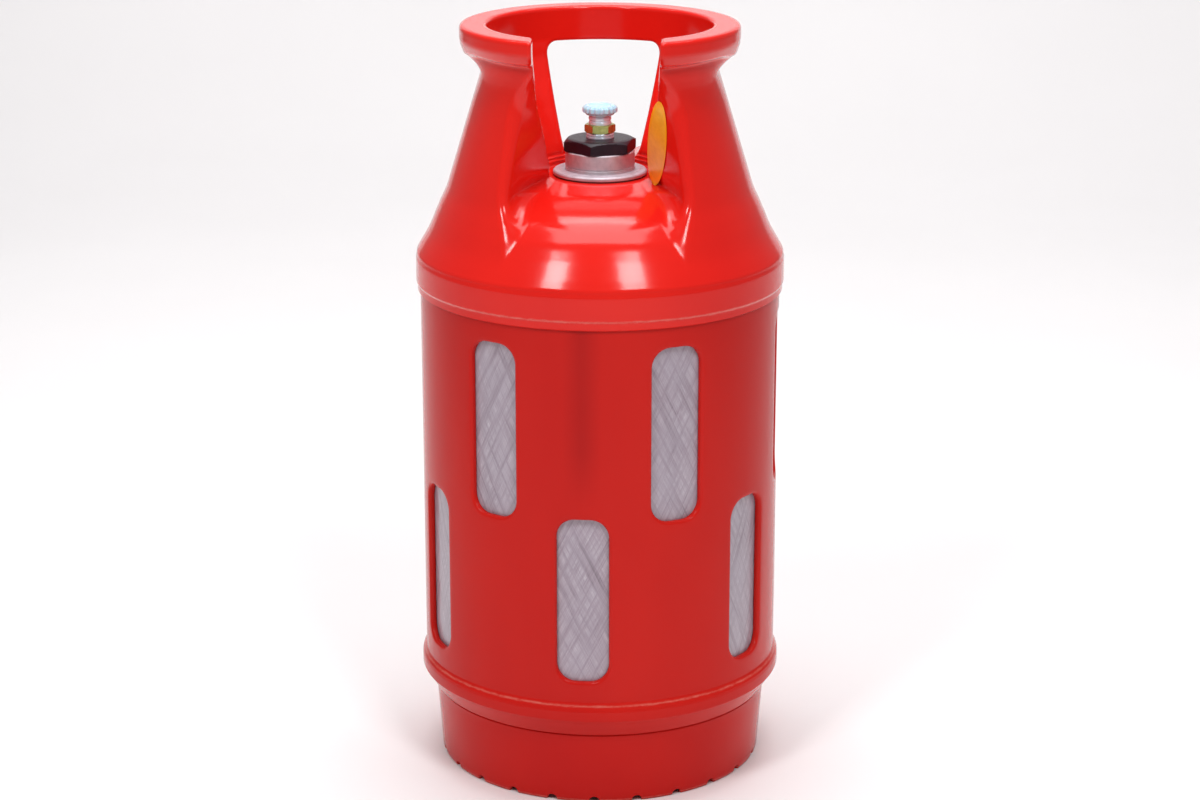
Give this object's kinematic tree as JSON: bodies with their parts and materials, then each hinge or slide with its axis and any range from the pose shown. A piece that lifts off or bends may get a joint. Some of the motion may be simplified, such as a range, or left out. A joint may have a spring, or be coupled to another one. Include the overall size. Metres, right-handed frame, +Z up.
{
  "type": "propane cylinder",
  "caption": "Composite propane cylinder with a windowed moulded casing, an open carrying ring over the valve, and a separate foot ring.",
  "frame": {"origin": "centre of the circle that the foot ring stands on", "axes": "+Z up along the cylinder's axis; the carrying ring's open side faces -Y"},
  "size_m": [0.312, 0.312, 0.64],
  "materials": {
    "casing_red": "glossy",
    "wound_fibre": "satin resin over glass fibre",
    "liner_plastic": "matte",
    "foam_grey": "matte",
    "seal_rubber": "satin",
    "boss_metal": "turned",
    "flange_metal": "brushed",
    "nut_black": "satin",
    "valve_plating": "plated",
    "nut_brass": "olive passivated",
    "brass_plain": "turned",
    "spring_steel": "drawn wire",
    "cap_plastic": "glossy",
    "label_amber": "satin print"
  },
  "bodies": {
    "cylinder": {"foot_ring": "casing_red", "body_sleeve": "casing_red", "shroud": "casing_red", "base_cushion": "foam_grey", "crown_cushion": "foam_grey", "tail_plug": "liner_plastic", "liner": "liner_plastic", "composite_shell": "wound_fibre", "neck_boss": "boss_metal", "boss_seal": "seal_rubber", "flange_gasket": "seal_rubber", "neck_flange": "flange_metal", "adaptor_nut": "nut_black", "adaptor_seal": "seal_rubber", "valve_body": "valve_plating", "lock_nut": "nut_brass", "outlet_seal": "seal_rubber", "spindle_spring": "spring_steel", "spring_plug": "brass_plain", "info_label": "label_amber"},
    "cap": {"safety_cap": "cap_plastic", "cap_disc": "seal_rubber"},
    "poppet": {"spindle": "brass_plain", "spindle_seal": "seal_rubber"}
  },
  "joints": [
    {"name": "cap_lift", "type": "slide", "parent": "cylinder", "child": "cap", "axis": [0, 0, 1], "range_m": [0, 0.08]},
    {"name": "spindle_push", "type": "slide", "parent": "cylinder", "child": "poppet", "axis": [0, 0, -1], "range_m": [0, 0.003], "stiffness_N_per_m": 900, "springref_m": -0.004, "deforming": ["spindle_spring"]}
  ]
}
